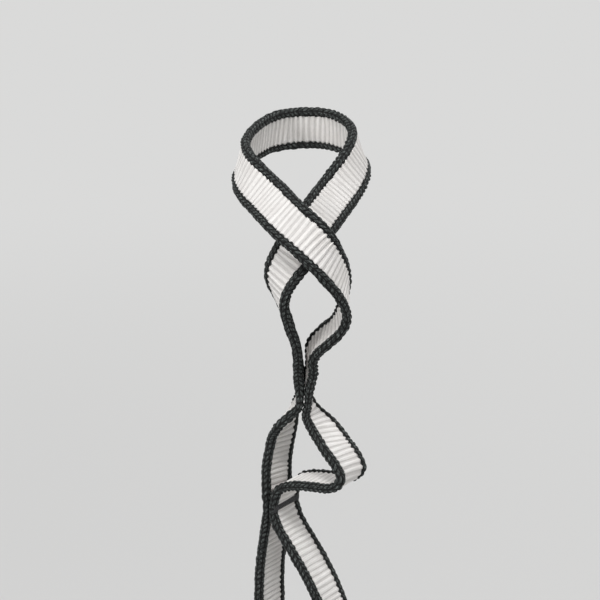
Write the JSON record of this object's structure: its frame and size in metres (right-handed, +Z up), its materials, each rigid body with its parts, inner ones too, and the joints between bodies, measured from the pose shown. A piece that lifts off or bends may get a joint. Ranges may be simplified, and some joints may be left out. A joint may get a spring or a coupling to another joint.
{
  "type": "climbing daisy chain",
  "caption": "Sewn webbing strip with a twisted end loop, bar-tacked pockets that swing at their tacks and a plain tip loop to clip into.",
  "frame": {"origin": "middle of the first bar tack, where the end loop is held and the chain hangs from", "axes": "+Z up along the hanging chain to the end loop, +X to the right and +Y away from the viewer, along the first tack"},
  "size_m": [0.0545, 0.0871, 0.5555],
  "materials": {
    "webbing_centre": "off-white ribbed woven nylon with a soft sheen",
    "webbing_edge": "charcoal braided selvedge",
    "tack_thread": "dense black bar-tack thread"
  },
  "bodies": {
    "hold": {"bar_tack_1": "tack_thread"},
    "end_loop": {"end_loop_centre": "webbing_centre", "end_loop_near_edge": "webbing_edge", "end_loop_far_edge": "webbing_edge"},
    "pocket_1": {"pocket_1_spine_centre": "webbing_centre", "pocket_1_spine_near_edge": "webbing_edge", "pocket_1_spine_far_edge": "webbing_edge", "pocket_1_bight_centre": "webbing_centre", "pocket_1_bight_near_edge": "webbing_edge", "pocket_1_bight_far_edge": "webbing_edge", "bar_tack_2": "tack_thread"},
    "pocket_2": {"pocket_2_spine_centre": "webbing_centre", "pocket_2_spine_near_edge": "webbing_edge", "pocket_2_spine_far_edge": "webbing_edge", "pocket_2_bight_centre": "webbing_centre", "pocket_2_bight_near_edge": "webbing_edge", "pocket_2_bight_far_edge": "webbing_edge", "bar_tack_3": "tack_thread"},
    "pocket_3": {"pocket_3_spine_centre": "webbing_centre", "pocket_3_spine_near_edge": "webbing_edge", "pocket_3_spine_far_edge": "webbing_edge", "pocket_3_bight_centre": "webbing_centre", "pocket_3_bight_near_edge": "webbing_edge", "pocket_3_bight_far_edge": "webbing_edge", "bar_tack_4": "tack_thread"},
    "pocket_4": {"pocket_4_spine_centre": "webbing_centre", "pocket_4_spine_near_edge": "webbing_edge", "pocket_4_spine_far_edge": "webbing_edge", "pocket_4_bight_centre": "webbing_centre", "pocket_4_bight_near_edge": "webbing_edge", "pocket_4_bight_far_edge": "webbing_edge", "bar_tack_5": "tack_thread"},
    "pocket_5": {"pocket_5_spine_centre": "webbing_centre", "pocket_5_spine_near_edge": "webbing_edge", "pocket_5_spine_far_edge": "webbing_edge", "pocket_5_bight_centre": "webbing_centre", "pocket_5_bight_near_edge": "webbing_edge", "pocket_5_bight_far_edge": "webbing_edge", "bar_tack_6": "tack_thread"},
    "tip_loop": {"tip_loop_centre": "webbing_centre", "tip_loop_near_edge": "webbing_edge", "tip_loop_far_edge": "webbing_edge"}
  },
  "joints": [
    {"name": "end_loop_sway", "type": "hinge", "parent": "hold", "child": "end_loop", "pos_m": [0, 0, 0], "axis": [0, 1, 0], "range_deg": [-15, 15], "stiffness_Nm_per_rad": 0.02},
    {"name": "pocket_1_swing", "type": "hinge", "parent": "hold", "child": "pocket_1", "pos_m": [0, 0, 0], "axis": [0, 1, 0], "range_deg": [-45, 45]},
    {"name": "pocket_2_swing", "type": "hinge", "parent": "pocket_1", "child": "pocket_2", "pos_m": [-0.009, 0, -0.045], "axis": [0.6018, 0.7986, 0], "range_deg": [-45, 45]},
    {"name": "pocket_3_swing", "type": "hinge", "parent": "pocket_2", "child": "pocket_3", "pos_m": [-0.009, 0, -0.13], "axis": [0.6018, 0.7986, 0], "range_deg": [-45, 45]},
    {"name": "pocket_4_swing", "type": "hinge", "parent": "pocket_3", "child": "pocket_4", "pos_m": [-0.009, 0, -0.215], "axis": [0.6018, 0.7986, 0], "range_deg": [-45, 45]},
    {"name": "pocket_5_swing", "type": "hinge", "parent": "pocket_4", "child": "pocket_5", "pos_m": [-0.009, 0, -0.3], "axis": [0.6018, 0.7986, 0], "range_deg": [-45, 45]},
    {"name": "tip_loop_swing", "type": "hinge", "parent": "pocket_5", "child": "tip_loop", "pos_m": [-0.009, 0, -0.385], "axis": [0.6018, 0.7986, 0], "range_deg": [-45, 45]}
  ]
}
